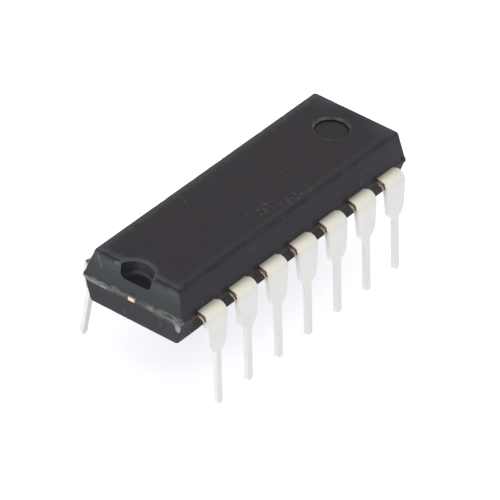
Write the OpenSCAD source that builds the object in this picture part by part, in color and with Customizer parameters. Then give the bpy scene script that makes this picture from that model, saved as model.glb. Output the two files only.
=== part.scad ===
// Plastic dual in-line integrated circuit: a moulded body round a stamped lead
// frame, with the die and its bond wires sealed inside.
// Origin: on the plane of the lead tips, under the middle of the body.
// +X runs along the body away from the index notch, +Z is up.
// Leads 1 to 7 run along -Y from the notch, leads 8 to 14 come back along +Y.

/* [Moulded body] */
// From the middle of an end lead to the end of the body, at the parting line
end_l = 1.905; // [1.6:0.005:2.4]
// Width of the body at the parting line
body_w = 6.35; // [6.1:0.05:6.6]
// Height of the upper half, above the parting line
upper_h = 1.66; // [1.4:0.02:2]
// Height of the lower half, below the parting line
lower_h = 1.64; // [1.4:0.02:2]
// How far each end leans in over the upper half
upper_end_draft = 0.24; // [0.1:0.02:0.4]
// How far each side leans in over the upper half
upper_side_draft = 0.48; // [0.1:0.02:0.6]
// How far each end leans in over the lower half
lower_end_draft = 0.2; // [0.1:0.02:0.4]
// How far each side leans in over the lower half
lower_side_draft = 0.42; // [0.1:0.02:0.6]
// Radius along the edges of the top and of the underside
edge_r = 0.2; // [0.05:0.01:0.3]
// Thickness of the flash left at the parting line
flash_t = 0.1; // [0.04:0.01:0.2]
// How far the flash stands out at the ends
flash_end = 0.07; // [0.02:0.01:0.12]
// How far the flash stands out along the sides
flash_side = 0.04; // [0.02:0.01:0.08]

/* [Marks in the moulding] */
// Radius of the index notch at the top face
notch_r = 1.02; // [0.6:0.02:1.4]
// Depth of the index notch
notch_h = 0.82; // [0.3:0.02:1]
// How much smaller the notch's radius is at its floor
notch_taper = 0.06; // [0.02:0.01:0.2]
// Radius of each ejector mark
ejector_r = 0.9; // [0.5:0.05:1.2]
// Depth of each ejector mark
ejector_h = 0.11; // [0.03:0.01:0.15]
// From the far end to the middle of the upper ejector mark
ejector_inset = 2.45; // [1.6:0.05:6]

/* [Leads] */
// From one lead to the next along a row
pitch = 2.54; // [2.4:0.02:2.6]
// Thickness of the lead frame's strip
lead_t = 0.25; // [0.2:0.01:0.3]
// Width of a lead where it leaves the body
shoulder_w = 1.38; // [1.2:0.02:1.5]
// Width of a lead at its bend
bend_w = 1.64; // [1.5:0.02:1.8]
// Width of a lead at the lower end of its wide part
plate_w = 1.38; // [1.2:0.02:1.5]
// Width of the narrow end that goes into a hole
shank_w = 0.4; // [0.36:0.02:0.56]
// From the body's side to the start of the bend
lead_reach = 0.21; // [0.15:0.01:0.5]
// Inner radius of the bend
bend_r = 0.3; // [0.15:0.01:0.4]
// Outward lean of each row, in degrees
splay = 6.2; // [0:0.1:10]
// From the underside down to the seat at the end of the wide part
standoff = 0.6; // [0.4:0.01:0.8]
// From that seat down to the tips
shank_l = 3.16; // [2.8:0.02:3.8]
// Rounding of a tip's corners
tip_r = 0.15; // [0.05:0.01:0.17]
// Hollow rounding where the wide part meets the narrow end
neck_r = 0.26; // [0.1:0.01:0.35]

/* [Lead frame inside] */
// From the body's side to the inner edge of a lead's wide root
root_l = 0.85; // [0.6:0.05:1]
// Diameter of the hole that locks each root in the moulding
lock_d = 0.45; // [0.3:0.05:0.6]
// Width of the fingers
finger_w = 0.4; // [0.3:0.02:0.45]
// Space between neighbouring fingers, and from them to the pad
finger_gap = 0.28; // [0.2:0.02:0.3]
// Length of the pad under the die
pad_l = 4.8; // [4:0.1:5.2]
// Width of the pad under the die
pad_w = 2.9; // [2.6:0.1:3]
// Width of the two bars that tie the pad to the ends
tie_w = 0.46; // [0.3:0.02:0.5]
// How far the cut ends of those bars stand out of the body
tie_out = 0.12; // [0.08:0.01:0.2]

/* [Die and bond wires] */
// Length of the die
die_l = 2.2; // [1.6:0.1:2.6]
// Width of the die
die_w = 1.7; // [1.4:0.1:2]
// Thickness of the die
die_t = 0.35; // [0.25:0.01:0.4]
// Thickness of the adhesive under the die
glue_t = 0.03; // [0.02:0.01:0.05]
// How far the adhesive spreads past the die
glue_edge = 0.1; // [0.05:0.01:0.2]
// Diameter of a bond wire
wire_d = 0.04; // [0.03:0.01:0.06]
// Radius of the loop at the top of each wire
loop_r = 0.1; // [0.08:0.01:0.15]
// Straight rise of each wire out of its ball
rise_h = 0.08; // [0.05:0.01:0.12]
// From the die's edge to the middle of a bond
bond_inset = 0.15; // [0.1:0.01:0.2]

/* [Hidden] */
$fn = 48;
// Leads in one row, and the place of the row's middle lead
row_n = 7;
middle = (row_n - 1) / 2;
// Length of the body at the parting line
body_l = 2 * (middle * pitch + end_l);
// Overlap that lets a cutting shape pass clear through a face
past = 0.5;
// An angle to the nearest hundredth of a degree
function round_angle(a) = round(100 * a) / 100;
// Height of the parting line over the tips
parting_z = lower_h + standoff + shank_l;

// The bend's centre, seen from the end of the body, from the parting line
bend_y = body_w / 2 + lead_reach;
bend_z = -lead_t / 2 - bend_r;
// From the bend's end down the leg's inner face to a depth below the parting line
function leg_length(depth) = (depth + bend_z + bend_r * sin(splay)) / cos(splay);
seat_v = leg_length(lower_h + standoff);
tip_v = leg_length(parting_z);
round_v = seat_v - sqrt(pow(plate_w / 2, 2) - pow(shank_w / 2, 2));

// Inner layout, for the quarter where X and Y are positive
root_y = body_w / 2 - root_l;
tip_x = pad_l / 2 + finger_gap;
tip_y = pad_w / 2 + finger_gap;
// Lanes of the fingers that reach past the pad's ends, the outermost lead first
function lane_y(k) = tie_w / 2 + finger_gap + finger_w / 2 + (middle - k) * (finger_w + finger_gap);

// Bonds: on the die, and on the lead's finger
glue_z = lead_t / 2;
die_z = glue_z + glue_t;
die_top = die_z + die_t;
ball_r = 1.2 * wire_d;
ball_h = 0.6 * wire_d;
stitch_r = 1.4 * wire_d;
stitch_h = 1.2 * wire_d;
function die_bond(k) =
    k == 0 ? [0, die_w / 2 - bond_inset] :
    k == 1 ? [0.6 * (die_l / 2 - bond_inset), die_w / 2 - bond_inset] :
    [die_l / 2 - bond_inset, (middle - k + 0.5) * (die_w / 2 - bond_inset) / 2];
function finger_bond(k) =
    k == 0 ? [0, tip_y + bond_inset] :
    k == 1 ? [k * pitch - shoulder_w / 2 + finger_w / 2, tip_y + bond_inset] :
    [tip_x + bond_inset, lane_y(k)];

mould_colour = [0.2, 0.2, 0.21];
tin_colour = [0.82, 0.81, 0.78];
copper_colour = [0.72, 0.45, 0.3];
silicon_colour = [0.35, 0.37, 0.42];
glue_colour = [0.75, 0.75, 0.72];
gold_colour = [0.85, 0.68, 0.3];

// Section of one half of the body: sides that lean in, and rounded upper corners
module half_section(width, draft, height) {
    lean = atan(draft / height);
    corner_y = height - edge_r;
    corner_x = width / 2 - edge_r / cos(lean) - corner_y * tan(lean);
    polygon([
        [-width / 2, 0],
        [width / 2, 0],
        [corner_x + edge_r * cos(lean), corner_y + edge_r * sin(lean)],
        [corner_x, height],
        [-corner_x, height],
        [-corner_x - edge_r * cos(lean), corner_y + edge_r * sin(lean)]
    ]);
    for (side = [-1, 1])
        translate([side * corner_x, corner_y]) circle(r = edge_r);
}

// One half of the body, standing on the parting plane
module half_body(end_draft, side_draft, height) {
    intersection() {
        rotate([90, 0, 0])
            linear_extrude(body_w + 2 * past, center = true)
                half_section(body_l, end_draft, height);
        rotate([90, 0, 90])
            linear_extrude(body_l + 2 * past, center = true)
                half_section(body_w, side_draft, height);
    }
}

// Thin line of flash all round the parting line
module flash() {
    cube([body_l + 2 * flash_end, body_w + 2 * flash_side, flash_t], center = true);
}

module index_notch() {
    translate([-body_l / 2, 0, upper_h - notch_h])
        cylinder(h = notch_h + past, r1 = notch_r - notch_taper, r2 = notch_r + notch_taper * past / notch_h);
}

module ejector_mark(x) {
    translate([x, 0, -ejector_h]) cylinder(h = ejector_h + past, r = ejector_r);
}

// Flat part of the lead that is k places from the middle: finger, root and shoulder
module lead_plan(k) {
    inner_x = k * pitch - shoulder_w / 2;
    difference() {
        union() {
            translate([inner_x, root_y]) square([shoulder_w, root_l]);
            polygon([
                [k * pitch - shoulder_w / 2, body_w / 2],
                [k * pitch + shoulder_w / 2, body_w / 2],
                [k * pitch + bend_w / 2, bend_y],
                [k * pitch - bend_w / 2, bend_y]
            ]);
            if (k == 0)
                polygon([
                    [-shoulder_w / 2, root_y],
                    [shoulder_w / 2, root_y],
                    [finger_w / 2, tip_y],
                    [-finger_w / 2, tip_y]
                ]);
            else if (k == 1)
                polygon([
                    [inner_x, root_y],
                    [inner_x + shoulder_w, root_y],
                    [inner_x + finger_w, tip_y],
                    [inner_x, tip_y]
                ]);
            else
                polygon([
                    [inner_x, root_y],
                    [inner_x + shoulder_w, root_y],
                    [inner_x + finger_w, lane_y(k) + finger_w / 2],
                    [inner_x + finger_w, lane_y(k) - finger_w / 2],
                    [tip_x, lane_y(k) - finger_w / 2],
                    [tip_x, lane_y(k) + finger_w / 2],
                    [inner_x, lane_y(k) + finger_w / 2]
                ]);
        }
        translate([k * pitch, root_y + root_l / 2]) circle(d = lock_d);
    }
}

// Outline of the straight leg, from the bend down to the tip
module leg_outline() {
    polygon([
        [-bend_w / 2, 0],
        [bend_w / 2, 0],
        [plate_w / 2, round_v],
        [-plate_w / 2, round_v]
    ]);
    translate([0, round_v]) circle(d = plate_w);
    translate([-shank_w / 2, round_v]) square([shank_w, tip_v - tip_r - round_v]);
    translate([-shank_w / 2 + tip_r, round_v]) square([shank_w - 2 * tip_r, tip_v - round_v]);
    for (side = [-1, 1]) {
        translate([side * (shank_w / 2 - tip_r), tip_v - tip_r]) circle(r = tip_r);
        neck(side);
    }
}

// Hollow corner between the round end of the wide part and the narrow end
module neck(side) {
    x = shank_w / 2 + neck_r;
    v = round_v + sqrt(pow(plate_w / 2 + neck_r, 2) - pow(x, 2));
    difference() {
        polygon([[0, round_v], [side * x, v], [0, v]]);
        translate([side * x, v]) circle(r = neck_r);
    }
}

// A whole lead of the row at +Y, k places from the middle towards +X
module lead_shape(k) {
    translate([0, 0, -lead_t / 2]) linear_extrude(lead_t) lead_plan(k);
    translate([k * pitch, bend_y, bend_z])
        rotate([splay - 90, 0, 0]) {
            rotate([0, -90, 180])
                rotate_extrude(angle = 90 - splay)
                    translate([bend_r, -bend_w / 2]) square([lead_t, bend_w]);
            translate([0, 0, bend_r]) linear_extrude(lead_t) leg_outline();
        }
}

// Puts a shape of the first quarter where lead number i has it
module at_lead(i) {
    near = i <= row_n;
    place = (near ? i - 1 : 2 * row_n - i) - middle;
    mirror([place < 0 ? 1 : 0, 0, 0])
        mirror([0, near ? 1 : 0, 0])
            children();
}

function steps_out(i) = abs((i <= row_n ? i - 1 : 2 * row_n - i) - middle);

module die_pad_shape() {
    cube([pad_l, pad_w, lead_t], center = true);
    cube([body_l + 2 * tie_out, tie_w, lead_t], center = true);
}

module die_attach_shape() {
    translate([0, 0, glue_z + glue_t / 2])
        cube([die_l + 2 * glue_edge, die_w + 2 * glue_edge, glue_t], center = true);
}

module silicon_die_shape() {
    translate([0, 0, die_z + die_t / 2]) cube([die_l, die_w, die_t], center = true);
}

// A wire from the die to the finger of a lead k places out: it rises from its
// ball, turns over in a loop and runs straight down to its stitch
module bond_wire_shape(k) {
    start = die_bond(k);
    reach = norm(finger_bond(k) - start);
    heading = atan2(finger_bond(k)[1] - start[1], finger_bond(k)[0] - start[0]);
    top_z = die_top + ball_h + rise_h;
    run = reach - loop_r;
    drop = top_z - lead_t / 2 - stitch_h / 2;
    turn = 90 + round_angle(atan(drop / run) + asin(loop_r / norm([run, drop])));
    straight = sqrt(run * run + drop * drop - loop_r * loop_r);
    translate([start[0], start[1], 0]) rotate([0, 0, heading]) {
        translate([0, 0, die_top]) cylinder(h = ball_h, r = ball_r);
        translate([0, 0, die_top]) cylinder(h = ball_h + rise_h, d = wire_d);
        translate([loop_r, 0, top_z])
            rotate([90, 0, 180]) {
                rotate_extrude(angle = turn) translate([loop_r, 0]) circle(d = wire_d);
                rotate([0, 0, turn])
                    translate([loop_r, 0, 0])
                        rotate([-90, 0, 0]) cylinder(h = straight, d = wire_d);
            }
        translate([reach, 0, lead_t / 2]) cylinder(h = stitch_h, r = stitch_r);
    }
}

module lead(i) {
    color(tin_colour) translate([0, 0, parting_z]) at_lead(i) lead_shape(steps_out(i));
}

module bond_wire(i) {
    color(gold_colour) translate([0, 0, parting_z]) at_lead(i) bond_wire_shape(steps_out(i));
}

module die_pad() {
    color(copper_colour) translate([0, 0, parting_z]) die_pad_shape();
}

module die_attach() {
    color(glue_colour) translate([0, 0, parting_z]) die_attach_shape();
}

module silicon_die() {
    color(silicon_colour) translate([0, 0, parting_z]) silicon_die_shape();
}

// The moulding fills the space round everything that it holds
module mould_body() {
    color(mould_colour) translate([0, 0, parting_z]) difference() {
        union() {
            half_body(upper_end_draft, upper_side_draft, upper_h);
            mirror([0, 0, 1]) half_body(lower_end_draft, lower_side_draft, lower_h);
            flash();
        }
        index_notch();
        translate([0, 0, upper_h]) ejector_mark(body_l / 2 - ejector_inset);
        for (side = [-1, 1])
            mirror([0, 0, 1])
                translate([0, 0, lower_h]) ejector_mark(side * (body_l / 2 - ejector_inset));
        die_pad_shape();
        die_attach_shape();
        silicon_die_shape();
        for (i = [1 : 2 * row_n])
            at_lead(i) {
                lead_shape(steps_out(i));
                bond_wire_shape(steps_out(i));
            }
    }
}

mould_body();
die_pad();
die_attach();
silicon_die();
lead(1);  // lead_01
lead(2);  // lead_02
lead(3);  // lead_03
lead(4);  // lead_04
lead(5);  // lead_05
lead(6);  // lead_06
lead(7);  // lead_07
lead(8);  // lead_08
lead(9);  // lead_09
lead(10);  // lead_10
lead(11);  // lead_11
lead(12);  // lead_12
lead(13);  // lead_13
lead(14);  // lead_14
bond_wire(1);  // bond_wire_01
bond_wire(2);  // bond_wire_02
bond_wire(3);  // bond_wire_03
bond_wire(4);  // bond_wire_04
bond_wire(5);  // bond_wire_05
bond_wire(6);  // bond_wire_06
bond_wire(7);  // bond_wire_07
bond_wire(8);  // bond_wire_08
bond_wire(9);  // bond_wire_09
bond_wire(10);  // bond_wire_10
bond_wire(11);  // bond_wire_11
bond_wire(12);  // bond_wire_12
bond_wire(13);  // bond_wire_13
bond_wire(14);  // bond_wire_14
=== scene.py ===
"""Looks for a plastic dual in-line chip: moulding, tinned leads, and the parts sealed inside."""
import math
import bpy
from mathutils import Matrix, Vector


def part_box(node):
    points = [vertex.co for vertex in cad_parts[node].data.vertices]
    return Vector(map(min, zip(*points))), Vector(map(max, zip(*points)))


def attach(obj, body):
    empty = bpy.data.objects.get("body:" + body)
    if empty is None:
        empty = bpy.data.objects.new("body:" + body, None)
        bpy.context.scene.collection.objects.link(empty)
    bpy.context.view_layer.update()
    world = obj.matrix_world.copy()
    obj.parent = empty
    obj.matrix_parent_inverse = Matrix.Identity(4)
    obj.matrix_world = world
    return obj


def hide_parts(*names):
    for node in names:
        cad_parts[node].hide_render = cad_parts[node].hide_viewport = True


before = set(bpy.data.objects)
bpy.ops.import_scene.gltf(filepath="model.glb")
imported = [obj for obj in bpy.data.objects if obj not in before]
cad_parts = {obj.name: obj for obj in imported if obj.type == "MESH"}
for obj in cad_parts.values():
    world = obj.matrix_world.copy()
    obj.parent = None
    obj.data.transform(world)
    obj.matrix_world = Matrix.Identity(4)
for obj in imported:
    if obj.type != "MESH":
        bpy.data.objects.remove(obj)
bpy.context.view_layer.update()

from types import SimpleNamespace

import bmesh
import bpy
from mathutils import Matrix, Vector, noise

MM = 0.001

# Sizes of the moulding in millimetres, as the part's source has them
UPPER_END_DRAFT = 0.24
UPPER_SIDE_DRAFT = 0.48
LOWER_END_DRAFT = 0.2
LOWER_SIDE_DRAFT = 0.42
UPPER_H = 1.66
LOWER_H = 1.64
EDGE_R = 0.2
FLASH_END = 0.07
FLASH_SIDE = 0.04
NOTCH_R = 1.02
NOTCH_H = 0.82
NOTCH_TAPER = 0.06
NOTCH_RIM = 0.14
NOTCH_FOOT = 0.28
EJECTOR_R = 0.9
EJECTOR_H = 0.11
EJECTOR_INSET = 2.45
EJECTOR_TAPER = 0.02
EJECTOR_RIM = 0.05
EJECTOR_FOOT = 0.02

# Sizes of the leads in millimetres
LEAD_T = 0.25
LEAD_REACH = 0.21
BEND_R = 0.3
TIE_W = 0.46
SHOULDER_W = 1.38
BEND_W = 1.64
LEAD_PITCH = 2.54
LEADS_PER_ROW = 7

body_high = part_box("mould_body")[1]
PARTING_Z = body_high.z / MM - UPPER_H
HALF_L = body_high.x / MM - FLASH_END
HALF_W = body_high.y / MM - FLASH_SIDE
BEND_Y = HALF_W + LEAD_REACH
BEND_Z = PARTING_Z - LEAD_T / 2 - BEND_R
TOP_X = HALF_L - UPPER_END_DRAFT
TOP_Y = HALF_W - UPPER_SIDE_DRAFT
EJECTOR_X = HALF_L - EJECTOR_INSET

# Wear on the notch end, and one painted highlight at the notch's rim: start and end as Y and height over
# the parting line, half width, strength, colour
END_MARKS = (
    ((2.42, 1.35), (2.12, 0.85), 0.1, 0.55, (0.16, 0.17, 0.18)),
    ((-2.84, -0.42), (-2.87, -0.56), 0.25, 1.0, (0.33, 0.34, 0.37)),
    ((-2.7, -0.15), (-2.85, -0.3), 0.16, 0.5, (0.18, 0.18, 0.18)),
    ((0.6, -1.05), (0.55, -1.25), 0.09, 0.4, (0.12, 0.125, 0.13)),
    ((-1.7, -0.55), (-1.75, -0.8), 0.1, 0.4, (0.13, 0.135, 0.13)),
    ((-2.1, 1.4), (-2.35, 1.42), 0.25, 0.5, (0.11, 0.115, 0.12)),
    # Painted highlight where the notch's rim meets the end face
    ((1.1, 1.52), (1.32, 1.46), 0.12, 0.8, (0.16, 0.17, 0.18)),
    ((2.95, -0.2), (1.75, -0.21), 0.11, 0.7, (0.3, 0.3, 0.285)),
)

# Scuffed patches of the top: middle and half lengths, X and Y
SCUFFS = ((-0.7, -1.5, 1.0, 0.9), (1.5, -2.1, 2.4, 0.5))

# Way towards which the painted highlights in rings round the ejector marks are wider
RING_WAY = (0.83, 0.56, 0.0)

# Specular level of the moulding
EPOXY_SPECULAR = 0.25

# Rows and columns of the moulding's mesh
SIDE_ROWS = 5
EDGE_ROWS = 6
LONG_STEPS = 160
SHORT_STEPS = 64
CORNER_STEPS = 5
CORNER_R = 0.14
FLASH_FOOT = 0.14
FLASH_LIP = 0.06

# Flash: shares of its full reach, how far those and its thickness waver, and the noise's scales
FLASH_LEAST = 0.3
FLASH_USUAL = 0.5
FLASH_WAVER = 0.7
LIP_WAVER = 0.5
TORN_SCALE = 5.1
TORN_RISE = 9

# Shallow nicks in the skin: scale of their noise, the level where they start, and their depth
NICK_SCALE = 2.3
NICK_START = 0.3
NICK_DEPTH = 0.04

# Pins that cut the notch and the marks: steps round them and along their roundings
PIN_STEPS = 72
ROUND_STEPS = 6

# How far a pin's flare turns, in degrees, and how far the pin stands out of the surface
RIM_TURN = 75
PIN_ABOVE = 0.3

# Edges of the moulding stay smooth below this angle, and those of the leads are rounded above the other
SMOOTH_BELOW = 32
ROUND_ABOVE = 40

# Width of that rounding, and the gap up to which neighbouring points are first joined, in millimetres
LEAD_BEVEL = 0.03
WELD_REACH = 0.0005

# Where the photograph was taken from: degrees, then metres from the body's middle
VIEW_AZIMUTH = -55.661
VIEW_ELEVATION = 36.144
VIEW_ROLL = 4.554
VIEW_DISTANCE = 0.275651
VIEW_RIGHT = 0.000132
VIEW_UP = -0.001776

# The lens: focal length and picture in pixels, sensor in millimetres, nearest and furthest place in metres
FOCAL_PIXELS = 5403.2
FRAME_PIXELS = 500
SENSOR = 36.0
CLIP_START = 0.01
CLIP_END = 10

# Strength of the light that is the same all round, the floor's own glow, and half its width in metres
SKY = 0.65
FLOOR_GLOW = 0.62
FLOOR_HALF = 1.5

# Lamps: name, place and size in metres, and power in watts; both point at the same place
LAMPS = (
    ("top", (0.0, -0.15, 0.5), 0.5, 0.3),
    ("left", (-0.5, 0.12, 0.2), 0.35, 0.15),
)
LAMP_AIM = (0, 0, 0.004)

# Colours of the moulding, as linear red, green and blue; many of them are painted light and shade
EPOXY = SimpleNamespace(
    top=(0.042, 0.033, 0.042),
    top_cloud=(0.039, 0.035, 0.043),
    side_low=(0.035, 0.03, 0.041),
    side_high=(0.029, 0.0265, 0.035),
    side_lift=(0.006, 0.006, 0.006),
    side_cloud=(0.028, 0.034, 0.038),
    low_corner=(0.029, 0.032, 0.0375),
    shade_under_leads=(0.012, 0.012, 0.0095),
    end_low=(0.053, 0.06, 0.063),
    end_high=(0.072, 0.082, 0.088),
    end_under=(0.041, 0.044, 0.049),
    end_under_far=(0.035, 0.037, 0.041),
    grain=(0.075, 0.072, 0.076),
    green_edge=(0.041, 0.049, 0.05),
    far_edge_highlight=(0.058, 0.061, 0.068),
    notch_edge_highlight=(0.083, 0.092, 0.102),
    notch_rim_highlight=(0.1, 0.107, 0.115),
    beside_edge_highlight=(0.08, 0.074, 0.08),
    edge_shade_line=(0.02, 0.021, 0.026),
    edge_highlight_line=(0.105, 0.11, 0.11),
    speck=(0.15, 0.145, 0.15),
    crumb=(0.15, 0.143, 0.143),
    mark_rim_highlight=(0.13, 0.12, 0.104),
    mark_floor=(0.042, 0.038, 0.033),
    mark_wall_shade=(0.006, 0.005, 0.004),
    flash_dull=(0.075, 0.08, 0.078),
    flash_pale=(0.24, 0.24, 0.225),
    corner_dull=(0.13, 0.13, 0.125),
    corner_pale=(0.42, 0.42, 0.4),
    lead_root_shade=(0.014, 0.013, 0.015),
    notch_shade=(0.006, 0.008, 0.01),
    notch_wall=(0.045, 0.047, 0.051),
    notch_grain=(0.036, 0.038, 0.041),
    notch_floor_shade=(0.012, 0.013, 0.018),
    notch_foot_highlight=(0.08, 0.085, 0.09),
)

# Colours of the leads' plating, of their sheared sides and of the bare strip, in the same way; some of
# them are painted light and shade
TIN = SimpleNamespace(
    dull=(0.762, 0.752, 0.722),
    bright=(0.787, 0.777, 0.747),
    grain=(0.72, 0.72, 0.71),
    under_bend=(0.762, 0.76, 0.713),
    crown_highlight=(1.0, 0.98, 0.835),
    at_body_shade=(0.32, 0.32, 0.25),
    cut_dull=(0.91, 0.895, 0.865),
    cut_bright=(0.94, 0.93, 0.91),
    rubbed=(0.6, 0.54, 0.45),
    warm=(1.0, 0.86, 0.82),
    burr=(0.048, 0.036, 0.018),
    burr_red=(0.115, 0.054, 0.028),
)
COPPER = SimpleNamespace(
    inner=(0.66, 0.53, 0.47),
    middle=(0.7, 0.55, 0.48),
    outer=(0.33, 0.23, 0.18),
    rim=(0.14, 0.09, 0.06),
    blotch_and_highlight=(0.85, 0.72, 0.65),
    lower=(0.85, 0.73, 0.65),
    far_row_shade=(0.16, 0.07, 0.06),
    strip_dull=(0.62, 0.34, 0.22),
    strip_bright=(0.78, 0.47, 0.33),
    tie_pale=(1.0, 0.87, 0.74),
    tie_red=(1.0, 0.78, 0.6),
    tie_border=(0.3, 0.14, 0.07),
)


class Graph:
    """Builds one material's nodes; places are in millimetres of the row frame."""

    def __init__(self, name):
        self.material = bpy.data.materials.new(name)
        self.material.use_nodes = True
        self.tree = self.material.node_tree
        self.shader = self.tree.nodes["Principled BSDF"]
        coords = self.add("ShaderNodeTexCoord").outputs["Object"]
        self.place = self.vector("SCALE", coords, scale=1 / MM)

    def add(self, kind, links=None, **settings):
        """A new node, with its settings, and what goes into its sockets."""
        node = self.tree.nodes.new(kind)
        for key, value in settings.items():
            setattr(node, key, value)
        for key, value in (links or {}).items():
            self.put(node.inputs[key], value)
        return node

    def put(self, socket, value):
        """Links a socket, or sets it to a fixed value."""
        if isinstance(value, bpy.types.NodeSocket):
            self.tree.links.new(value, socket)
        elif isinstance(value, (tuple, list)) and socket.type == "RGBA":
            socket.default_value = (*value, 1)
        else:
            socket.default_value = value

    def set(self, name, value):
        """The same for one of the shader's own sockets."""
        self.put(self.shader.inputs[name], value)

    def vector(self, operation, a, b=(0, 0, 0), scale=1.0):
        """Result of one vector operation, a number where the operation gives one."""
        node = self.add("ShaderNodeVectorMath", {0: a, 1: b, 3: scale}, operation=operation)
        return node.outputs["Value" if operation in ("LENGTH", "DOT_PRODUCT", "DISTANCE") else "Vector"]

    def math(self, operation, a, b=0.0, clamp=False):
        """Result of one operation on numbers."""
        return self.add("ShaderNodeMath", {0: a, 1: b}, operation=operation, use_clamp=clamp).outputs[0]

    def times(self, product, *others):
        """Product of any number of values."""
        for other in others:
            product = self.math("MULTIPLY", product, other)
        return product

    def split(self, vector):
        """The three parts of a vector."""
        return self.add("ShaderNodeSeparateXYZ", {0: vector}).outputs

    def join(self, x, y, z):
        """A vector of three parts."""
        return self.add("ShaderNodeCombineXYZ", {0: x, 1: y, 2: z}).outputs[0]

    def noise(self, scale, detail=2.0, stretch=(1, 1, 1)):
        """Soft noise; a smaller stretch along an axis draws it out along that axis."""
        place = self.vector("MULTIPLY", self.place, stretch)
        links = {"Vector": place, "Scale": scale, "Detail": detail}
        return self.add("ShaderNodeTexNoise", links).outputs["Fac"]

    def cells(self, scale):
        """Distance to the nearest of some scattered points, and a colour for each of them."""
        return self.add("ShaderNodeTexVoronoi", {"Vector": self.place, "Scale": scale}).outputs

    def span(self, value, low, high, to_low=0.0, to_high=1.0, smooth=True):
        """Value from low to high as to_low to to_high, held flat outside that span."""
        links = {"Value": value, "From Min": low, "From Max": high, "To Min": to_low, "To Max": to_high}
        curve = "SMOOTHSTEP" if smooth else "LINEAR"
        return self.add("ShaderNodeMapRange", links, interpolation_type=curve).outputs["Result"]

    def mix(self, factor, a, b, blend="MIX"):
        """Colour a, going over to colour b as the factor rises."""
        node = self.add("ShaderNodeMix", data_type="RGBA", blend_type=blend)
        for socket, value in ((0, factor), (6, a), (7, b)):
            self.put(node.inputs[socket], value)
        return node.outputs[2]

    def ramp(self, value, *stops):
        """Colour at a value, between stops of a place and a colour."""
        node = self.add("ShaderNodeValToRGB", {"Fac": value})
        band = node.color_ramp
        while len(band.elements) < len(stops):
            band.elements.new(0.5)
        for element, (at, colour) in zip(band.elements, stops):
            element.position = at
            element.color = (*colour, 1)
        return node.outputs["Color"]

    def normal(self):
        """The three parts of the surface's direction."""
        return self.split(self.add("ShaderNodeNewGeometry").outputs["Normal"])

    def stroke(self, place, start, end, half):
        """Mask along the line between two places, soft over its outer part."""
        along = Vector(end) - Vector(start)
        away = self.vector("SUBTRACT", place, start)
        reach = self.vector("DOT_PRODUCT", away, along)
        share = self.math("DIVIDE", reach, along.length_squared, clamp=True)
        gap = self.vector("DISTANCE", away, self.vector("SCALE", along, scale=share))
        return self.span(gap, half * 0.4, half, 1.0, 0.0)

    def bump(self, height, distance, strength):
        """Fine relief of the surface, with its depth in millimetres."""
        links = {"Height": height, "Distance": distance * MM, "Strength": strength}
        self.set("Normal", self.add("ShaderNodeBump", links).outputs["Normal"])


def across_pitch(g, x):
    """Place between the lines halfway to the next leads, from 0 to 1; a lead's middle is at 0.5."""
    return g.math("FRACT", g.math("ADD", g.math("DIVIDE", x, LEAD_PITCH), LEADS_PER_ROW / 2))


def body_measures(g):
    """Places, directions and noises that the layers of the moulding's colour share."""
    m = SimpleNamespace()
    m.x, m.y, m.z = g.split(g.place)
    m.nx, m.ny, m.nz = g.normal()
    m.over = g.math("SUBTRACT", m.z, PARTING_Z)
    m.down = g.math("SUBTRACT", UPPER_H, m.over)
    m.in_x = g.math("SUBTRACT", TOP_X, g.math("ABSOLUTE", m.x))
    m.in_y = g.math("SUBTRACT", TOP_Y, g.math("ABSOLUTE", m.y))
    m.below = g.span(m.over, -0.12, 0.0, 1.0, 0.0)
    m.ends = g.span(g.math("ABSOLUTE", m.nx), 0.78, 0.96)
    lip = g.times(g.span(g.math("ABSOLUTE", m.x), HALF_L - 0.12, HALF_L - 0.06),
                  g.span(g.math("ABSOLUTE", m.over), 0.16, 0.3, 1.0, 0.0))
    m.ends = g.math("MAXIMUM", m.ends, lip)
    m.sides = g.span(g.math("ABSOLUTE", m.ny), 0.6, 0.85)
    m.top = g.span(m.nz, 0.8, 0.95)
    m.near_x = g.span(m.x, -1.0, 1.0, 1.0, 0.0)
    m.near_y = g.span(m.y, -1.0, 1.0, 1.0, 0.0)
    m.grain = g.noise(9.0, 3.0)
    m.pebble = g.noise(22.0, 2.0)
    m.crumbs = g.noise(3.4, 4.0)
    m.cloud = g.noise(0.45, 3.0)
    m.wobble = g.span(g.noise(2.4, 3.0), 0.3, 0.7, -1.0, 1.0, smooth=False)
    return m


def face_tones_and_painted_light(g, m):
    """Purplish on top, bluer and lighter at the ends, and dark under the leads: each face gets its own
    shade of the one epoxy, as painted light and shade.
    """
    top = g.mix(g.span(m.cloud, 0.4, 0.62), EPOXY.top, EPOXY.top_cloud)
    side = g.mix(g.span(m.over, 0.3, 1.4), EPOXY.side_low, EPOXY.side_high)
    side = g.mix(g.span(m.x, 4.0, 8.0), side, EPOXY.side_lift, blend="ADD")
    side = g.mix(g.span(m.cloud, 0.5, 0.62, 0.0, 0.5), side, EPOXY.side_cloud)
    # Painted shade: the sides darker below the parting line, darkest under the leads
    under = g.mix(g.span(m.x, -8.6, -8.2), EPOXY.low_corner, EPOXY.shade_under_leads)
    side = g.mix(m.below, side, under)
    # Painted light: the ends lighter than the top and the sides, lighter towards their top, and darker
    # below the parting line
    end = g.mix(g.span(m.over, 0.7, 1.3), EPOXY.end_low, EPOXY.end_high)
    under = g.mix(g.span(m.y, -2.4, -1.6), EPOXY.end_under, EPOXY.end_under_far)
    end = g.mix(m.below, end, under)
    base = g.mix(m.sides, top, side)
    base = g.mix(m.ends, base, end)
    return g.mix(g.span(m.grain, 0.3, 0.7, 0.0, 0.2), base, EPOXY.grain)


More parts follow.
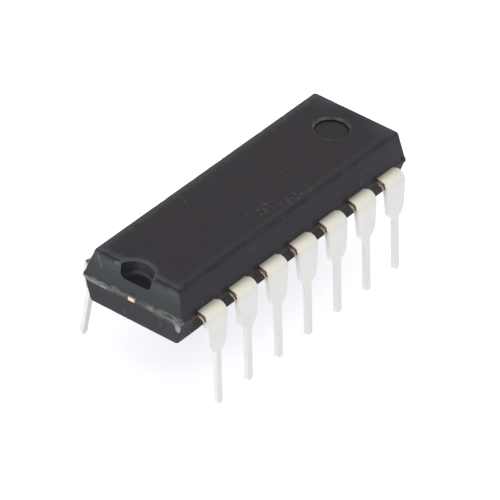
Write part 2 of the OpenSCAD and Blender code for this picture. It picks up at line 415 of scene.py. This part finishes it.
def edge_tint_and_painted_light(g, m, base):
    """Greener bands inside the long edges, with painted highlights as pale bands and lines along the
    edges, and painted shade as a broken dark line at the notch end and above the first row of leads.
    """
    # Greenish bands inside the long edges of the top, stronger over the second row of leads
    spread = g.math("ADD", m.in_y, g.math("MULTIPLY", m.wobble, 0.4))
    green = g.times(g.span(spread, 0.1, 1.2, 0.7, 0.0), g.span(m.y, -1.0, 1.0, 0.25, 1.0), m.top)
    base = g.mix(green, base, EPOXY.green_edge)

    # Painted highlights: pale bands inside the end edges, weaker in the middle of the far end
    across = g.math("ABSOLUTE", m.y)
    far_corner = g.times(g.span(m.in_x, 0.4, 1.5, 0.9, 0.0), g.span(across, 0.7, 1.8), m.top)
    far_corner = g.times(far_corner, g.math("SUBTRACT", 1.0, m.near_x))
    base = g.mix(far_corner, base, EPOXY.far_edge_highlight)
    corners = g.span(across, 0.8, 1.8, 0.35, 0.8)
    behind = g.times(g.span(m.in_x, 0.15, 0.6, 1.0, 0.0), m.top, g.math("MAXIMUM", m.near_x, corners))
    behind = g.times(behind, g.span(m.wobble, -0.6, 0.6, 0.6, 1.0))
    base = g.mix(behind, base, EPOXY.notch_edge_highlight)

    # Painted highlights: a pale rim round the notch, and a faint pale line inside the edge over the first
    # row
    rim = g.vector("LENGTH", g.join(g.math("ADD", m.x, HALF_L), m.y, 0.0))
    rim = g.span(rim, NOTCH_R + NOTCH_RIM, NOTCH_R + NOTCH_RIM + 0.16, 1.0, 0.0)
    rim = g.times(rim, m.top, g.span(m.wobble, -1.0, 0.6, 0.1, 0.6))
    base = g.mix(rim, base, EPOXY.notch_rim_highlight)
    # Painted highlight: faint pale line inside the edge over the first row
    beside = g.times(g.span(m.in_y, 0.15, 0.3), g.span(m.in_y, 0.4, 0.6, 1.0, 0.0), m.top, m.near_y)
    base = g.mix(g.times(beside, 0.22), base, EPOXY.beside_edge_highlight)

    # The rounded edges themselves: painted shade over the notch end and the first row, painted highlights
    # over the others
    end_edge = g.vector("DISTANCE", g.join(m.in_x, 0.0, m.down), (-0.005, 0.0, 0.11))
    end_edge = g.math("ADD", end_edge, g.math("MULTIPLY", m.wobble, 0.03))
    end_line = g.span(end_edge, 0.04, 0.19, 1.0, 0.0)
    long_edge = g.vector("DISTANCE", g.join(0.0, m.in_y, m.down), (0.0, 0.03, 0.04))
    long_edge = g.math("ADD", long_edge, g.math("MULTIPLY", m.wobble, 0.06))
    long_line = g.times(g.span(long_edge, 0.08, 0.22, 1.0, 0.0), m.near_y)
    long_line = g.times(long_line, g.span(g.noise(1.2, 2.0), 0.35, 0.65, 0.0, 0.55))
    dark = g.math("MAXIMUM", g.times(end_line, m.near_x, 0.45), long_line)
    base = g.mix(dark, base, EPOXY.edge_shade_line)
    far_line = g.times(g.span(long_edge, 0.15, 0.5, 1.0, 0.0), g.math("SUBTRACT", 1.0, m.near_y))
    pale = g.math("MAXIMUM", g.times(end_line, g.math("SUBTRACT", 1.0, m.near_x)), far_line)
    return g.mix(g.times(pale, g.span(m.pebble, 0.35, 0.65, 0.2, 0.8)), base, EPOXY.edge_highlight_line)


def dust(g, m, base):
    """Single specks all over, and loose crumbs in scuffed patches of the top."""
    # Specks
    cells = g.cells(1.7)
    chosen = g.span(m.y, -1.8, -1.0, 0.4, 0.55)
    speck = g.span(g.math("SUBTRACT", g.split(cells["Color"])[0], chosen), 0.0, 0.2)
    speck = g.times(speck, g.span(cells["Distance"], 0.04, 0.09, 1.0, 0.0))
    base = g.mix(g.times(speck, 0.8), base, EPOXY.speck)

    # Crumbs
    scuffed = 0.0
    for middle_x, middle_y, reach_x, reach_y in SCUFFS:
        off = g.join(g.math("DIVIDE", g.math("SUBTRACT", m.x, middle_x), reach_x),
                     g.math("DIVIDE", g.math("SUBTRACT", m.y, middle_y), reach_y), 0.0)
        scuffed = g.math("MAXIMUM", scuffed, g.span(g.vector("LENGTH", off), 0.4, 1.0, 1.0, 0.0))
    cells = g.cells(6.5)
    shades = g.split(cells["Color"])
    crumb = g.times(g.span(cells["Distance"], 0.2, 0.5, 1.0, 0.0), g.span(shades[0], 0.4, 0.55))
    crumb = g.times(crumb, scuffed, g.span(g.noise(1.6, 3.0), 0.4, 0.52), m.top)
    return g.mix(g.times(crumb, g.span(shades[1], 0.0, 1.0, 0.25, 1.0)), base, EPOXY.crumb)


def ejector_marks(g, m, base):
    """Painted highlights in rings round the pressed marks, their darker floors, and painted shade on their
    walls.
    """
    from_mark = g.join(g.math("SUBTRACT", g.math("ABSOLUTE", m.x), EJECTOR_X), m.y, 0.0)
    beyond = g.span(g.vector("DOT_PRODUCT", from_mark, RING_WAY), -0.2, 0.9, 0.0, 0.14)
    from_mark = g.vector("LENGTH", from_mark)
    marked = g.math("MAXIMUM", g.span(m.x, 0.0, 1.0), m.below)
    patches = g.noise(3.5, 2.0)
    outer = g.math("SUBTRACT", from_mark, beyond)

    # The ring's painted highlight, then the floor, then the wall's painted shade
    ring = g.times(g.span(from_mark, EJECTOR_R, EJECTOR_R + 0.04),
                   g.span(outer, EJECTOR_R + 0.08, EJECTOR_R + 0.16, 1.0, 0.0))
    ring = g.times(ring, g.span(patches, 0.35, 0.62, 0.15, 0.9), g.span(m.y, -0.8, 0.0, 0.45, 1.0))
    base = g.mix(g.times(ring, marked), base, EPOXY.mark_rim_highlight)
    pressed = g.times(marked, g.span(from_mark, EJECTOR_R, EJECTOR_R + 0.02, 1.0, 0.0))
    base = g.mix(g.times(pressed, g.span(patches, 0.35, 0.65, 0.4, 0.85)), base, EPOXY.mark_floor)
    # Painted shade on the mark's wall
    wall = g.times(pressed, g.span(g.math("ABSOLUTE", m.nz), 0.5, 0.8, 1.0, 0.0))
    return g.mix(wall, base, EPOXY.mark_wall_shade)


def parting_line(g, m, base):
    """Pale streaky flash, widest at the notch end's corners, and painted shade beside the lead roots."""
    # The flash: its middle lies a little lower towards the corners
    across = g.math("ABSOLUTE", m.y)
    sunk = g.math("ADD", g.span(across, 0.4, 1.8, 0.02, 0.09), g.span(m.y, 1.3, 2.3, 0.0, 0.05))
    lip = g.math("ABSOLUTE", g.math("ADD", m.over, sunk))
    streak = g.noise(3.4, 4.0, stretch=(0.5, 0.5, 3.0))
    lip = g.math("ADD", lip, g.span(g.noise(4.6, 4.0, stretch=(0.6, 0.6, 1.0)), 0.3, 0.7, -0.045, 0.045))
    lip = g.span(g.times(lip, g.span(m.y, -2.4, 0.4, 0.7, 1.0)), 0.1, 0.24, 1.0, 0.0)
    lip = g.times(lip, g.span(g.noise(1.1, 3.0), 0.36, 0.56, 0.5, 1.0), g.span(across, 0.3, 1.2, 0.5, 1.0))
    lip = g.times(lip, g.span(m.ends, 0.0, 1.0, 0.03, 0.9))
    pale = g.mix(g.span(streak, 0.4, 0.58), EPOXY.flash_dull, EPOXY.flash_pale)
    brighter = g.mix(g.span(streak, 0.4, 0.55), EPOXY.corner_dull, EPOXY.corner_pale)
    pale = g.mix(g.span(m.y, 1.2, 2.3, 0.0, 0.8), pale, brighter)
    base = g.mix(lip, base, pale)

    # Painted shade beside the lead roots, one patch on the notch's side of each lead
    share = across_pitch(g, m.x)
    lead_root_shade = g.times(g.span(share, 0.0, 0.1), g.span(share, 0.2, 0.25, 1.0, 0.0), m.sides)
    lead_root_shade = g.times(lead_root_shade, g.span(m.over, -0.02, 0.1), g.span(m.over, 0.24, 0.45, 1.0, 0.0))
    return g.mix(g.times(lead_root_shade, 0.6), base, EPOXY.lead_root_shade), lip


def end_marks(g, m, base):
    """Scratches and chips on the end that has the notch, and a painted highlight at the notch's rim."""
    flat = g.join(0.0, m.y, m.over)
    for start, finish, half, strength, colour in END_MARKS:
        mark = g.stroke(flat, (0, *start), (0, *finish), half)
        mark = g.times(mark, g.span(m.nx, -0.9, -0.6, strength, 0.0))
        mark = g.times(mark, g.span(m.crumbs, 0.35, 0.55, 0.45, 1.0))
        base = g.mix(mark, base, colour)
    return base


def epoxy():
    """Filled epoxy off an etched mould: pebbled and scuffed, bluer at the ends, with pale flash; light and
    shade are painted into its colour on the faces, edges, lead roots and marks.
    """
    g = Graph("epoxy_moulding")
    m = body_measures(g)
    base = face_tones_and_painted_light(g, m)
    base = edge_tint_and_painted_light(g, m, base)
    base = dust(g, m, base)
    base = ejector_marks(g, m, base)
    base, lip = parting_line(g, m, base)
    g.set("Base Color", end_marks(g, m, base))
    g.set("Roughness", g.span(m.grain, 0.3, 0.7, 0.68, 0.82))
    g.set("Specular IOR Level", EPOXY_SPECULAR)
    relief = g.math("ADD", g.math("MULTIPLY", m.pebble, 0.5), m.grain)
    g.bump(g.math("ADD", relief, g.math("MULTIPLY", lip, 1.2)), 0.012, 0.6)
    return g.material


def polished_epoxy():
    """The same epoxy where a smooth insert formed the notch, with light and shade painted in: dark on its
    floor and where its wall faces −Y, with painted highlights on its rim and the wall's foot.
    """
    g = Graph("epoxy_recess")
    z = g.split(g.place)[2]
    ny, nz = g.normal()[1:3]
    grain = g.noise(12.0, 3.0)
    # Painted shade where the notch's wall faces −Y, lighter where it faces −X and +Y
    facing = g.span(ny, -0.75, -0.2)
    wall = g.mix(facing, EPOXY.notch_shade, EPOXY.notch_wall)
    wall = g.mix(g.span(grain, 0.3, 0.7, 0.0, 0.4), wall, EPOXY.notch_grain)
    # Painted shade and dark reflection on the notch's floor
    floor = g.span(nz, 0.6, 0.85)
    colour = g.mix(floor, wall, EPOXY.notch_floor_shade)
    # Painted highlight on the rounded foot of the wall
    foot = g.times(g.span(nz, 0.15, 0.35), g.span(nz, 0.5, 0.7, 1.0, 0.0), facing)
    low = g.span(z, PARTING_Z + UPPER_H - NOTCH_H / 2, PARTING_Z + UPPER_H - 0.2, 1.0, 0.0)
    colour = g.mix(g.times(foot, low), colour, EPOXY.notch_foot_highlight)
    # Painted highlight on the notch's rim
    rim = g.times(g.span(nz, 0.1, 0.5), g.math("SUBTRACT", 1.0, low))
    colour = g.mix(g.times(rim, 0.85), colour, EPOXY.notch_rim_highlight)
    g.set("Base Color", colour)
    g.set("Roughness", g.span(grain, 0.3, 0.7, 0.5, 0.62))
    g.set("Specular IOR Level", EPOXY_SPECULAR)
    g.bump(grain, 0.006, 0.5)
    return g.material


def tinned():
    """Matte tin over copper alloy: creamy at the bend, with bare sheared sides and a dark burr there;
    painted highlights on the bend's crown and on the bare copper, painted shade next to the moulding and
    on the second row's copper.
    """
    g = Graph("tinned_strip")
    x, y, z = g.split(g.place)
    # Out and up from the bend's middle line, and the faces that the punch cut
    out = g.math("SUBTRACT", g.math("ABSOLUTE", y), BEND_Y)
    up = g.math("SUBTRACT", z, BEND_Z)
    side = g.span(g.math("ABSOLUTE", g.normal()[0]), 0.6, 0.9)
    fine = g.noise(14.0, 3.0)
    streak = g.noise(9.0, 2.0, stretch=(1, 0.12, 0.12))

    tin = g.mix(g.span(g.noise(1.6, 2.0), 0.35, 0.65), TIN.dull, TIN.bright)
    tin = g.mix(g.span(fine, 0.3, 0.7, 0.0, 0.15), tin, TIN.grain)
    tin = g.mix(g.span(up, -0.25, 0.1), tin, TIN.under_bend)
    # Painted highlight: the crown of the bend painted brighter, and creamier
    tin = g.mix(g.span(up, 0.12, 0.46), tin, TIN.crown_highlight)
    # Painted shade and dark reflection of the moulding where the lead leaves it
    shade = g.span(out, -LEAD_REACH, 0.19, 1.0, 0.0, smooth=False)
    tin = g.mix(g.times(shade, shade, 0.87, g.span(up, 0.0, 0.2)), tin, TIN.at_body_shade)
    cut = g.mix(g.span(streak, 0.35, 0.65), TIN.cut_dull, TIN.cut_bright)

    # Places across the lead and round its bend, and how far inside its outline a place lies
    turn = g.math("SUBTRACT", across_pitch(g, x), 0.5)
    from_axis = g.math("MULTIPLY", g.math("ABSOLUTE", turn), LEAD_PITCH)
    radius = g.vector("LENGTH", g.join(0.0, g.math("MAXIMUM", out, 0.0), up))
    swing = g.math("DIVIDE", out, radius)
    half = g.span(out, -LEAD_REACH, 0.0, SHOULDER_W / 2, BEND_W / 2, smooth=False)
    under_skin = g.math("SUBTRACT", radius, BEND_R + LEAD_T)
    inward = g.math("ADD", g.math("SUBTRACT", half, from_axis), under_skin)
    edge = g.span(radius, BEND_R, BEND_R + LEAD_T, 0.13, 0.25, smooth=False)
    sheared = g.times(side, g.span(g.math("SUBTRACT", up, edge), -0.03, 0.05))

    copper = g.ramp(g.span(radius, BEND_R, BEND_R + LEAD_T, smooth=False),
                    (0.0, COPPER.inner), (0.3, COPPER.middle), (0.6, COPPER.outer), (1.0, COPPER.rim))
    # Pale blotches on the copper that vary from lead to lead, partly painted highlights
    copper = g.mix(g.span(g.noise(2.6, 3.0), 0.45, 0.65, 0.0, 0.5), copper, COPPER.blotch_and_highlight)
    # Painted highlight: the copper paler towards the lower end of the cut side
    copper = g.mix(g.span(g.math("SUBTRACT", up, edge), 0.0, 0.12, 0.6, 0.0), copper, COPPER.lower)
    # Painted shade: the second row's copper darker
    copper = g.mix(g.span(y, -1.0, 1.0, 0.0, 0.85), copper, COPPER.far_row_shade)
    rubbed = g.times(side, g.span(up, -0.35, 0.1), g.span(radius, BEND_R, BEND_R + LEAD_T, 0.9, 0.0))
    cut = g.mix(rubbed, cut, TIN.rubbed)
    colour = g.mix(sheared, g.mix(side, tin, cut), copper)

    # Warm tint and dark burr on one edge of each lead: the one towards the notch along the first row,
    # and the other along the second
    burred = g.span(g.times(turn, y), 0.0, 0.2)
    warm = g.times(g.span(inward, 0.08, 0.26, 0.75, 0.0), burred, g.span(up, 0.02, 0.3))
    colour = g.mix(warm, colour, TIN.warm, blend="MULTIPLY")
    middle = g.math("ADD", g.span(swing, 0.5, 0.9, 0.02, -0.13), g.span(out, -0.12, 0.0, -0.06, 0.0))
    off = g.math("ABSOLUTE", g.math("SUBTRACT", inward, middle))
    off = g.math("SUBTRACT", off, g.span(out, -0.1, 0.1, 0.02, 0.0))
    burr = g.times(g.span(off, 0.04, 0.09, 1.0, 0.0), g.span(swing, 0.78, 0.94, 1.0, 0.0))
    burr = g.times(burr, g.span(out, -LEAD_REACH, -0.06, 0.5, 1.0), g.span(up, 0.0, 0.15))
    burr = g.times(burr, g.math("MAXIMUM", side, burred), g.span(g.noise(2.2, 2.0), 0.35, 0.6, 0.8, 1.0))
    brown = g.mix(g.span(g.noise(0.6, 1.0), 0.42, 0.58), TIN.burr, TIN.burr_red)
    g.set("Base Color", g.mix(burr, colour, brown))
    g.set("Metallic", g.span(sheared, 0.0, 1.0, 0.12, 0.4))
    g.set("Roughness", g.span(fine, 0.3, 0.7, 0.42, 0.55))
    g.bump(g.math("ADD", fine, g.math("MULTIPLY", streak, side)), 0.006, 0.5)
    return g.material


def bare_copper():
    """Copper alloy strip of the pad, bright on the two cut ends that stand out of the moulding."""
    g = Graph("frame_copper")
    x, y, z = g.split(g.place)
    streak = g.noise(10.0, 3.0, stretch=(0.3, 1, 3))
    cut = g.span(g.math("ABSOLUTE", x), HALF_L - 0.05, HALF_L + 0.02)
    strip = g.mix(g.span(streak, 0.3, 0.7), COPPER.strip_dull, COPPER.strip_bright)
    fresh = g.mix(g.span(streak, 0.35, 0.65), COPPER.tie_pale, COPPER.tie_red)
    across = g.math("ABSOLUTE", y)
    over = g.math("ABSOLUTE", g.math("SUBTRACT", z, PARTING_Z))
    border = g.math("MAXIMUM", g.span(across, TIE_W / 2 - 0.09, TIE_W / 2 - 0.02),
                    g.span(over, LEAD_T / 2 - 0.06, LEAD_T / 2 - 0.01))
    fresh = g.mix(g.math("MULTIPLY", border, 0.8), fresh, COPPER.tie_border)
    g.set("Base Color", g.mix(cut, strip, fresh))
    g.set("Metallic", g.span(cut, 0.0, 1.0, 0.9, 0.1))
    g.set("Roughness", g.span(streak, 0.3, 0.7, 0.35, 0.5))
    g.bump(streak, 0.01, 0.4)
    return g.material


def silicon():
    """Dark polished silicon with a fine grid of metal on its upper face."""
    g = Graph("silicon_crystal")
    nz = g.normal()[2]
    brick = g.add("ShaderNodeTexBrick", {"Vector": g.place, "Scale": 6.0, "Mortar Size": 0.03,
                                         "Color1": (0.1, 0.13, 0.22), "Color2": (0.16, 0.13, 0.2),
                                         "Mortar": (0.55, 0.5, 0.36)})
    shade = g.mix(g.span(g.noise(18.0, 3.0), 0.3, 0.7), (0.06, 0.065, 0.08), (0.12, 0.12, 0.15))
    g.set("Base Color", g.mix(g.span(nz, 0.7, 0.9), shade, brick.outputs["Color"]))
    g.set("Metallic", 0.4)
    g.set("Roughness", g.span(g.noise(8.0), 0.3, 0.7, 0.15, 0.3))
    return g.material


def adhesive():
    """Silver-filled adhesive, grainy."""
    g = Graph("silver_adhesive")
    grain = g.noise(30.0, 3.0)
    g.set("Base Color", g.mix(g.span(grain, 0.3, 0.7), (0.42, 0.42, 0.4), (0.7, 0.7, 0.67)))
    g.set("Metallic", 0.3)
    g.set("Roughness", g.span(grain, 0.3, 0.7, 0.45, 0.65))
    g.bump(grain, 0.006, 0.6)
    return g.material


def gold():
    """Drawn gold wire."""
    g = Graph("drawn_gold")
    streak = g.noise(25.0, 2.0)
    g.set("Base Color", g.mix(g.span(streak, 0.3, 0.7), (0.9, 0.62, 0.25), (0.98, 0.74, 0.36)))
    g.set("Metallic", 1.0)
    g.set("Roughness", g.span(streak, 0.3, 0.7, 0.18, 0.3))
    return g.material


def half_profile(half, draft, height):
    """Half width and height of the rows of one half, from the parting line up over its rounded edge."""
    lean = math.atan(draft / height)
    centre_z = height - EDGE_R
    centre = half - EDGE_R / math.cos(lean) - centre_z * math.tan(lean)
    top_of_side = centre_z + EDGE_R * math.sin(lean)
    rows = []
    for k in range(SIDE_ROWS):
        z = FLASH_FOOT + (top_of_side - FLASH_FOOT) * k / SIDE_ROWS
        rows.append((half - z * math.tan(lean), z))
    for k in range(EDGE_ROWS + 1):
        a = lean + (math.pi / 2 - lean) * k / EDGE_ROWS
        rows.append((centre + EDGE_R * math.cos(a), centre_z + EDGE_R * math.sin(a)))
    return rows


def body_rows():
    """Rows of the moulding from the underside up: end reach, side reach, end height, side height."""
    rows = []
    for sign, height, end_draft, side_draft in ((-1, LOWER_H, LOWER_END_DRAFT, LOWER_SIDE_DRAFT),
                                                (1, UPPER_H, UPPER_END_DRAFT, UPPER_SIDE_DRAFT)):
        ends = half_profile(HALF_L, end_draft, height)
        sides = half_profile(HALF_W, side_draft, height)
        half = [(e[0], s[0], sign * e[1], sign * s[1]) for e, s in zip(ends, sides)]
        rows.extend(half if sign > 0 else reversed(half))
    return rows


def outline(reach_x, reach_y):
    """Places round a rectangle with rounded corners, each with its share of an end and its way out."""
    straight_x = reach_x - CORNER_R
    straight_y = reach_y - CORNER_R
    places = []
    for quarter in range(4):
        along_x = quarter % 2 == 0
        turn = Matrix.Rotation(quarter * math.pi / 2, 2)
        length, steps = (straight_x, LONG_STEPS) if along_x else (straight_y, SHORT_STEPS)
        away = straight_y if along_x else straight_x
        for k in range(steps):
            spot = turn @ Vector((length * (2 * k / steps - 1), -away - CORNER_R))
            places.append((spot, 0.0 if along_x else 1.0, turn @ Vector((0, -1))))
        for k in range(CORNER_STEPS):
            a = math.pi / 2 * k / CORNER_STEPS
            way = turn @ Vector((math.sin(a), -math.cos(a)))
            middle = turn @ Vector((length, -away))
            share = k / CORNER_STEPS
            places.append((middle + CORNER_R * way, share if along_x else 1 - share, way))
    return places


def flash_ring(mesh, z):
    """One edge of the broken lip of flash round the parting line."""
    ring = []
    for spot, end, way in outline(HALF_L, HALF_W):
        torn = noise.noise(Vector((spot.x * TORN_SCALE, spot.y * TORN_SCALE, z * TORN_RISE)))
        most = FLASH_SIDE + (FLASH_END - FLASH_SIDE) * end
        share = min(1.0, max(FLASH_LEAST, FLASH_USUAL + FLASH_WAVER * torn))
        spot = spot + way * most * share
        ring.append(mesh.verts.new((spot.x, spot.y, z * (1 + LIP_WAVER * torn))))
    return ring


def moulding_shell():
    """The moulding as one closed mesh, without its notch and marks."""
    mesh = bmesh.new()
    rings = []
    rows = body_rows()
    for index, (reach_x, reach_y, end_z, side_z) in enumerate(rows):
        ring = []
        for spot, end, way in outline(reach_x, reach_y):
            z = side_z + (end_z - side_z) * end
            level = noise.noise(Vector((spot.x * NICK_SCALE, spot.y * NICK_SCALE, z * NICK_SCALE)))
            spot = spot - way * max(0.0, level - NICK_START) * NICK_DEPTH
            ring.append(mesh.verts.new((spot.x, spot.y, z)))
        rings.append(ring)
        if index == len(rows) // 2 - 1:
            rings.extend(flash_ring(mesh, z) for z in (-FLASH_LIP, FLASH_LIP))
    count = len(rings[0])
    for low, high in zip(rings, rings[1:]):
        for k in range(count):
            following = (k + 1) % count
            mesh.faces.new((low[k], low[following], high[following], high[k]))
    mesh.faces.new(list(reversed(rings[0])))
    mesh.faces.new(rings[-1])
    return mesh


def revolve(mesh, middle, profile):
    """Adds a closed turned shape to a mesh: profile runs from the axis below to the axis above."""
    x, y, z = middle
    rings = []
    for radius, height in profile[1:-1]:
        angles = [2 * math.pi * k / PIN_STEPS for k in range(PIN_STEPS)]
        rings.append([mesh.verts.new((x + radius * math.cos(a), y + radius * math.sin(a), z + height))
                      for a in angles])
    bottom = mesh.verts.new((x, y, z + profile[0][1]))
    top = mesh.verts.new((x, y, z + profile[-1][1]))
    for k in range(PIN_STEPS):
        following = (k + 1) % PIN_STEPS
        mesh.faces.new((bottom, rings[0][following], rings[0][k]))
        mesh.faces.new((top, rings[-1][k], rings[-1][following]))
        for low, high in zip(rings, rings[1:]):
            mesh.faces.new((low[k], low[following], high[following], high[k]))


def pin_profile(radius, taper, depth, rim, foot):
    """Profile of the pin that forms a recess, with a rounded foot and a rim that flares to the surface."""
    lean = math.atan2(taper, depth)
    profile = [(0.0, -depth)]
    low_r = radius - taper
    for k in range(ROUND_STEPS + 1):
        a = (math.pi / 2 - lean) * k / ROUND_STEPS
        profile.append((low_r - foot + foot * math.sin(a), -depth + foot - foot * math.cos(a)))
    for k in range(ROUND_STEPS):
        a = math.radians(RIM_TURN) * k / (ROUND_STEPS - 1)
        profile.append((radius + rim - rim * math.cos(a), -rim + rim * math.sin(a)))
    profile.append((radius + rim, PIN_ABOVE))
    profile.append((0.0, PIN_ABOVE))
    return profile


def cutters():
    """The notch's pin and the ejector pins, as one mesh."""
    mesh = bmesh.new()
    notch = pin_profile(NOTCH_R, NOTCH_TAPER, NOTCH_H, rim=NOTCH_RIM, foot=NOTCH_FOOT)
    pin = pin_profile(EJECTOR_R, EJECTOR_TAPER, EJECTOR_H, rim=EJECTOR_RIM, foot=EJECTOR_FOOT)
    revolve(mesh, (-HALF_L, 0, UPPER_H), notch)
    revolve(mesh, (EJECTOR_X, 0, UPPER_H), pin)
    turned = bmesh.new()
    for side in (-1, 1):
        revolve(turned, (side * EJECTOR_X, 0, LOWER_H), pin)
    bmesh.ops.rotate(turned, verts=turned.verts, cent=(0, 0, 0), matrix=Matrix.Rotation(math.pi, 3, "X"))
    flipped = bpy.data.meshes.new("flipped")
    turned.to_mesh(flipped)
    mesh.from_mesh(flipped)
    turned.free()
    bpy.data.meshes.remove(flipped)
    return mesh


def as_object(mesh, name):
    """Makes an object of a mesh and puts it in the scene."""
    data = bpy.data.meshes.new(name)
    mesh.to_mesh(data)
    mesh.free()
    obj = bpy.data.objects.new(name, data)
    bpy.context.scene.collection.objects.link(obj)
    return obj


def applied(obj):
    """The object's mesh with its modifiers applied."""
    bpy.context.view_layer.update()
    seen = obj.evaluated_get(bpy.context.evaluated_depsgraph_get())
    data = bpy.data.meshes.new_from_object(seen)
    obj.modifiers.clear()
    obj.data = data
    return data


def moulding():
    """The moulding with its index notch and ejector marks, in place of its CAD node."""
    piece = as_object(moulding_shell(), "moulding")
    pins = as_object(cutters(), "pins")
    cut = piece.modifiers.new("cut", "BOOLEAN")
    cut.operation = "DIFFERENCE"
    cut.solver = "EXACT"
    cut.object = pins
    data = applied(piece)
    bpy.data.objects.remove(pins)

    data.materials.clear()
    data.materials.append(epoxy())
    data.materials.append(polished_epoxy())
    for face in data.polygons:
        face.material_index = int(in_recess(face.center))
    data.shade_smooth()
    data.set_sharp_from_angle(angle=math.radians(SMOOTH_BELOW))
    data.transform(Matrix.Scale(MM, 4) @ Matrix.Translation((0, 0, PARTING_Z)))
    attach(piece, "root")
    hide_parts("mould_body")


def in_recess(spot):
    """Whether a face's middle lies in the notch, clear of the end face and of the top."""
    clear_of_end = 0.01
    clear_of_top = 0.004
    near = math.hypot(spot.x + HALF_L, spot.y) < NOTCH_R + NOTCH_RIM
    behind_end = spot.x > -HALF_L + UPPER_END_DRAFT * spot.z / UPPER_H + clear_of_end
    return near and behind_end and 0 < spot.z < UPPER_H - clear_of_top


def dress(node, material, bevel=0.0):
    """Gives a CAD node its material and, where asked, softly rounded edges."""
    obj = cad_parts[node]
    obj.data.materials.clear()
    obj.data.materials.append(material)
    if bevel:
        weld = obj.modifiers.new("weld", "WELD")
        weld.merge_threshold = WELD_REACH * MM
        rounded = obj.modifiers.new("edges", "BEVEL")
        rounded.width = bevel * MM
        rounded.segments = 2
        rounded.limit_method = "ANGLE"
        rounded.angle_limit = math.radians(ROUND_ABOVE)
        rounded.harden_normals = True


def dress_frame():
    """Finishes the CAD nodes that stay: leads, pad, adhesive, die and wires."""
    tin = tinned()
    wire = gold()
    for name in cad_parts:
        if name.startswith("lead_"):
            dress(name, tin, bevel=LEAD_BEVEL)
        elif name.startswith("bond_wire_"):
            dress(name, wire)
    dress("die_pad", bare_copper(), bevel=LEAD_BEVEL)
    dress("die_attach", adhesive())
    dress("silicon_die", silicon())


def floor():
    """Plain pale floor under the lead tips."""
    mesh = bmesh.new()
    bmesh.ops.create_grid(mesh, x_segments=1, y_segments=1, size=FLOOR_HALF)
    piece = as_object(mesh, "floor")
    g = Graph("pale_floor")
    g.set("Base Color", (0.9, 0.9, 0.92))
    g.set("Emission Color", (0.97, 0.96, 1.0))
    g.set("Emission Strength", FLOOR_GLOW)
    g.set("Roughness", 0.9)
    g.set("Specular IOR Level", 0.1)
    piece.data.materials.append(g.material)


def area_light(name, place, size, power):
    """A white square lamp that points at the part."""
    light = bpy.data.lights.new(name, "AREA")
    light.size = size
    light.energy = power
    obj = bpy.data.objects.new(name, light)
    obj.location = place
    obj.rotation_euler = (Vector(LAMP_AIM) - Vector(place)).to_track_quat("-Z", "Y").to_euler()
    bpy.context.scene.collection.objects.link(obj)


def studio():
    """Soft light from all round, a little more from the notch end."""
    world = bpy.data.worlds.new("studio")
    world.use_nodes = True
    back = world.node_tree.nodes["Background"]
    back.inputs["Color"].default_value = (1, 1, 1, 1)
    back.inputs["Strength"].default_value = SKY
    bpy.context.scene.world = world
    for lamp in LAMPS:
        area_light(*lamp)
    bpy.context.scene.view_settings.view_transform = "Standard"
    floor()


def camera():
    """The photograph's viewpoint, with its roll and its long lens."""
    a, e, r = (math.radians(v) for v in (VIEW_AZIMUTH, VIEW_ELEVATION, VIEW_ROLL))
    back = Vector((math.sin(a) * math.cos(e), -math.cos(a) * math.cos(e), math.sin(e)))
    level = Vector((math.cos(a), math.sin(a), 0))
    upright = back.cross(level)
    right = level * math.cos(r) + upright * math.sin(r)
    up = upright * math.cos(r) - level * math.sin(r)
    lens = bpy.data.cameras.new("camera")
    lens.sensor_width = SENSOR
    lens.lens = SENSOR * FOCAL_PIXELS / FRAME_PIXELS
    lens.clip_start = CLIP_START
    lens.clip_end = CLIP_END
    obj = bpy.data.objects.new("camera", lens)
    eye = back * VIEW_DISTANCE + right * VIEW_RIGHT + up * VIEW_UP + Vector((0, 0, PARTING_Z * MM))
    turn = Matrix((right, up, back)).transposed().to_4x4()
    obj.matrix_world = Matrix.Translation(eye) @ turn
    bpy.context.scene.collection.objects.link(obj)
    bpy.context.scene.camera = obj


camera()
studio()
moulding()
dress_frame()
